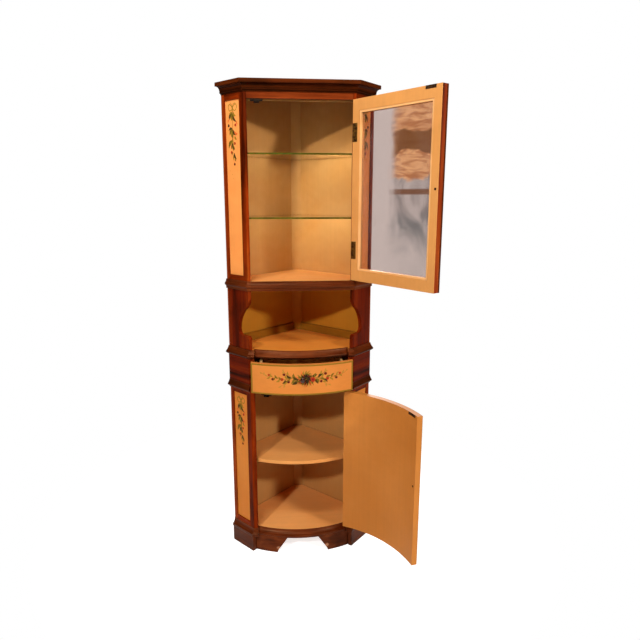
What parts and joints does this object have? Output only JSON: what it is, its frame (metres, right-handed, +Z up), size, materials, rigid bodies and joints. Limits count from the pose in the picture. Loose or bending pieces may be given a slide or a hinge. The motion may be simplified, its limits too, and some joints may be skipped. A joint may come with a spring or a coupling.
{
  "type": "corner cabinet",
  "caption": "Painted corner cabinet: glazed upper cupboard, open niche with scroll-cut sides, bow-fronted drawer and bow-fronted lower cupboard on bracket feet.",
  "frame": {"origin": "floor level under the rear foot, on the plane of symmetry; the room corner is 40 mm behind it", "axes": "+Z up, the front looks along -Y, the room walls run at 45 degrees to Y"},
  "size_m": [0.757, 0.7123, 1.88],
  "materials": {
    "red_brown_wood": "satin",
    "cream_paint": "satin",
    "ochre_paint": "satin",
    "plain_wood": "matte",
    "glass": "gloss",
    "dark_metal": "satin",
    "brass": "satin",
    "knob_wood": "gloss"
  },
  "bodies": {
    "carcass": {"crown_front": "red_brown_wood", "crown_sides": "red_brown_wood", "top_board": "red_brown_wood", "frieze_rail": "red_brown_wood", "upper_front_stiles": "red_brown_wood", "upper_rear_stiles": "red_brown_wood", "upper_frame_rails": "red_brown_wood", "waist_moulding_front": "red_brown_wood", "waist_moulding_sides": "red_brown_wood", "niche_side_left": "red_brown_wood", "niche_side_right": "red_brown_wood", "table_moulding_front": "red_brown_wood", "table_moulding_sides": "red_brown_wood", "drawer_bay_sides": "red_brown_wood", "dust_board": "red_brown_wood", "sill_moulding_sides": "red_brown_wood", "lower_front_stiles": "red_brown_wood", "lower_rear_stiles": "red_brown_wood", "lower_frame_rails": "red_brown_wood", "base_moulding_front": "red_brown_wood", "base_moulding_sides": "red_brown_wood", "base_front_board": "red_brown_wood", "base_side_boards": "red_brown_wood", "rear_foot": "red_brown_wood", "upper_side_panels": "cream_paint", "back_left": "cream_paint", "back_right": "cream_paint", "corner_strip": "cream_paint", "frieze_stop": "cream_paint", "upper_floor": "cream_paint", "lower_side_panels": "cream_paint", "lower_shelf": "cream_paint", "shelf_cleats": "cream_paint", "lower_floor": "cream_paint", "niche_skirting": "ochre_paint", "niche_floor": "ochre_paint", "drawer_runners": "plain_wood", "glass_shelves": "glass", "upper_catch": "dark_metal", "lower_catch": "dark_metal", "shelf_pegs": "dark_metal", "upper_hinge_case_leaves": "brass", "lower_hinge_case_leaves": "brass"},
    "upper_door": {"upper_door_moulding": "red_brown_wood", "upper_door_stiles": "cream_paint", "upper_door_rails": "cream_paint", "upper_door_beads": "cream_paint", "upper_door_glass": "glass", "upper_door_strike": "dark_metal", "upper_door_hinge_leaves": "brass", "upper_door_knob": "knob_wood"},
    "lower_door": {"lower_door_panel": "cream_paint", "lower_door_strike": "dark_metal", "lower_door_hinge_leaves": "brass", "lower_door_knob": "knob_wood"},
    "drawer": {"drawer_front": "cream_paint", "drawer_sides": "plain_wood", "drawer_back": "plain_wood", "drawer_bottom": "plain_wood", "drawer_knob": "knob_wood"}
  },
  "joints": [
    {"name": "upper_door_hinge", "type": "hinge", "parent": "carcass", "child": "upper_door", "pos_m": [0.201, -0.3549, 1.487], "axis": [0, 0, 1], "range_deg": [-124.2, 10.8]},
    {"name": "lower_door_hinge", "type": "hinge", "parent": "carcass", "child": "lower_door", "pos_m": [0.18625, -0.3482, 0.4], "axis": [0, 0, 1], "range_deg": [-128, 9]},
    {"name": "drawer_slide", "type": "slide", "parent": "carcass", "child": "drawer", "axis": [0, -1, 0], "range_m": [-0.025, 0.14]}
  ]
}
